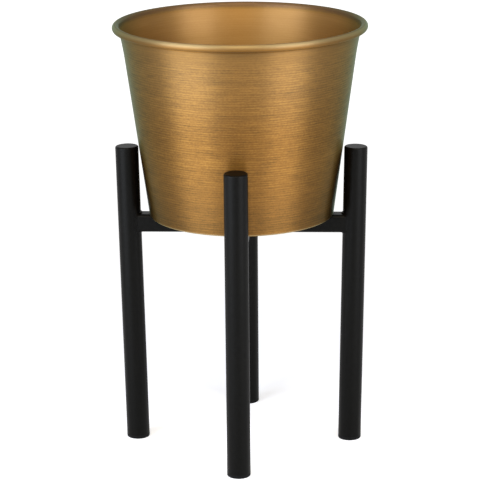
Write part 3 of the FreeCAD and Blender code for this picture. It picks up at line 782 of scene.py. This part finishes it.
def moulded_plastic():
    """Height = the mould's grain; larger scuffs set the colour and the roughness."""
    material, tree, shader = new_material("moulded_black_polyethylene", IOR=1.51, Specular_IOR_Level=0.1)
    spot = add(tree, "ShaderNodeTexCoord").outputs["Object"]
    grain = add(tree, "ShaderNodeTexNoise", {
        "Vector": spot, "Scale": 1000 / MOULD_GRAIN, "Detail": 2.0}).outputs["Fac"]
    scuff = add(tree, "ShaderNodeTexNoise", {
        "Vector": spot, "Scale": 1000 / SCUFF_SIZE, "Detail": 3.0}).outputs["Fac"]
    ramp = add(tree, "ShaderNodeValToRGB", {"Fac": scuff})
    for stop, position, colour in zip(ramp.color_ramp.elements, SCUFF_TONES, (PLASTIC_BLACK, PLASTIC_WORN)):
        stop.position = position
        stop.color = colour
    tree.links.new(ramp.outputs["Color"], shader.inputs["Base Color"])
    rough = add(tree, "ShaderNodeMapRange", {
        "Value": scuff, "From Min": SCUFF_SPAN[0], "From Max": SCUFF_SPAN[1],
        "To Min": PLASTIC_ROUGH[0], "To Max": PLASTIC_ROUGH[1]}).outputs["Result"]
    tree.links.new(rough, shader.inputs["Roughness"])
    bump = add(tree, "ShaderNodeBump", {
        "Strength": MOULD_BUMP, "Distance": MOULD_DEPTH * MM, "Height": grain})
    tree.links.new(bump.outputs["Normal"], shader.inputs["Normal"])
    return material


# %% Finish the stand
coat = powder_coat()
plastic = moulded_plastic()
stand_nodes = frame["record"]["behaviour"]["bodies"]["stand"]
for name in stand_nodes:
    node = frame["nodes"][name]
    node.material_slots[0].material = plastic if name.startswith("foot_glide") else coat
for piece in bpy.data.objects:
    if piece.name.startswith("weld_bead"):
        piece.data.materials.append(coat)
print("powder coat and plastic on", len(stand_nodes), "nodes and the weld beads")

# %% [markdown]
# ## Floor, backdrop and light
# The object stands on white paper in a room that is white all round, with a softbox on each side and a third
# above, in front. Walls could be built, but a world colour is white behind every view and needs no mesh. The
# side lamps are a little cool and the front one is warm, so the gold is pale in the two bright bands and deep
# between them. The paper and the room are as bright to a mirror as they are to the camera, so the metal shows
# them too, and the paper still darkens where the object shades it.

# %% Paper floor
# In metres, like the lamps below.
FLOOR_HALF = 4.0
PAPER = linear("E6E6E6")
WHITE = (1, 1, 1, 1)
# Metres from the object, and how much of the white is the paper's own: the lamps light it well only near by.
GLOW_NEAR = (0.3, 0.5)
GLOW_FAR = (1.7, 0.95)


def seen_directly(tree):
    """1 for rays from the camera, off a mirror or through glass, and 0 for light that only lights things."""
    path = add(tree, "ShaderNodeLightPath").outputs
    first = add(tree, "ShaderNodeMath", {
        0: path["Is Camera Ray"], 1: path["Is Glossy Ray"]}, operation="MAXIMUM").outputs["Value"]
    return add(tree, "ShaderNodeMath", {
        0: first, 1: path["Is Transmission Ray"]}, operation="MAXIMUM").outputs["Value"]


floor_mesh = bpy.data.meshes.new("paper_floor")
floor_corners = FLOOR_HALF * np.array([[-1, -1, 0], [1, -1, 0], [1, 1, 0], [-1, 1, 0]])
floor_mesh.from_pydata(floor_corners.tolist(), [], [[0, 1, 2, 3]])
paper_floor = bpy.data.objects.new("paper_floor", floor_mesh)
bpy.context.scene.collection.objects.link(paper_floor)
paper, paper_tree, paper_shader = new_material(
    "white_paper", Base_Color=PAPER, Roughness=0.9, Specular_IOR_Level=0.0, Emission_Color=WHITE)
spot = add(paper_tree, "ShaderNodeTexCoord").outputs["Object"]
from_middle = add(paper_tree, "ShaderNodeVectorMath", {0: spot}, operation="LENGTH").outputs["Value"]
lift = add(paper_tree, "ShaderNodeMapRange", {
    "Value": from_middle, "From Min": GLOW_NEAR[0], "From Max": GLOW_FAR[0],
    "To Min": GLOW_NEAR[1], "To Max": GLOW_FAR[1]}, interpolation_type="SMOOTHSTEP").outputs["Result"]
glow = add(paper_tree, "ShaderNodeMath", {0: seen_directly(paper_tree), 1: lift}, operation="MULTIPLY")
paper_tree.links.new(glow.outputs["Value"], paper_shader.inputs["Emission Strength"])
floor_mesh.materials.append(paper)
print(f"paper floor: {2 * FLOOR_HALF:.0f} m square")

# %% White room
FILL_STRENGTH = 0.30
world = bpy.data.worlds.new("white_room")
bpy.context.scene.world = world
world.use_nodes = True
room = world.node_tree
fill = room.nodes["Background"]
fill.inputs["Color"].default_value = WHITE
fill.inputs["Strength"].default_value = FILL_STRENGTH
white = add(room, "ShaderNodeBackground", {"Color": WHITE, "Strength": 1.0})
choice = add(room, "ShaderNodeMixShader", {
    0: seen_directly(room), 1: fill.outputs["Background"], 2: white.outputs["Background"]})
room.links.new(choice.outputs["Shader"], room.nodes["World Output"].inputs["Surface"])
print(f"white room: strength 1 to the camera and to mirrors, {FILL_STRENGTH} as light")


# %% Softboxes
def softbox(name, azimuth, elevation, distance, width, height, radiance, colour):
    """An area lamp facing the middle of the pot; its power is radiance x pi x area."""
    lamp = bpy.data.lights.new(name, "AREA")
    lamp.shape = "RECTANGLE"
    lamp.size = width
    lamp.size_y = height
    lamp.energy = radiance * np.pi * width * height
    lamp.color = linear(colour)[:3]
    fixture = bpy.data.objects.new(name, lamp)
    bpy.context.scene.collection.objects.link(fixture)
    aim = Vector((0, 0, (seat + rim_top) / 2 * MM))
    out = Vector(towards(CAMERA_AZIMUTH + azimuth, elevation))
    fixture.location = aim + out * distance
    fixture.rotation_euler = out.to_track_quat("Z", "Y").to_euler()
    fixture.visible_camera = False
    print(f"{name}: {lamp.energy:.1f} W over {width:.1f} x {height:.1f} m")


softbox("softbox_left", azimuth=-48, elevation=9, distance=0.85, width=0.66, height=0.86,
        radiance=6.75, colour="E4ECFF")
softbox("softbox_right", azimuth=45, elevation=9, distance=0.85, width=0.56, height=0.86,
        radiance=5.4, colour="EFF2FF")
softbox("softbox_front", azimuth=0, elevation=48, distance=1.2, width=0.65, height=0.55,
        radiance=5.7, colour="FFEAC0")

# %% [markdown]
# ## Colour view
# Colours are shown as they are written, without a film curve.

# %% Colour view
bpy.context.scene.view_settings.view_transform = "Standard"
bpy.context.view_layer.update()
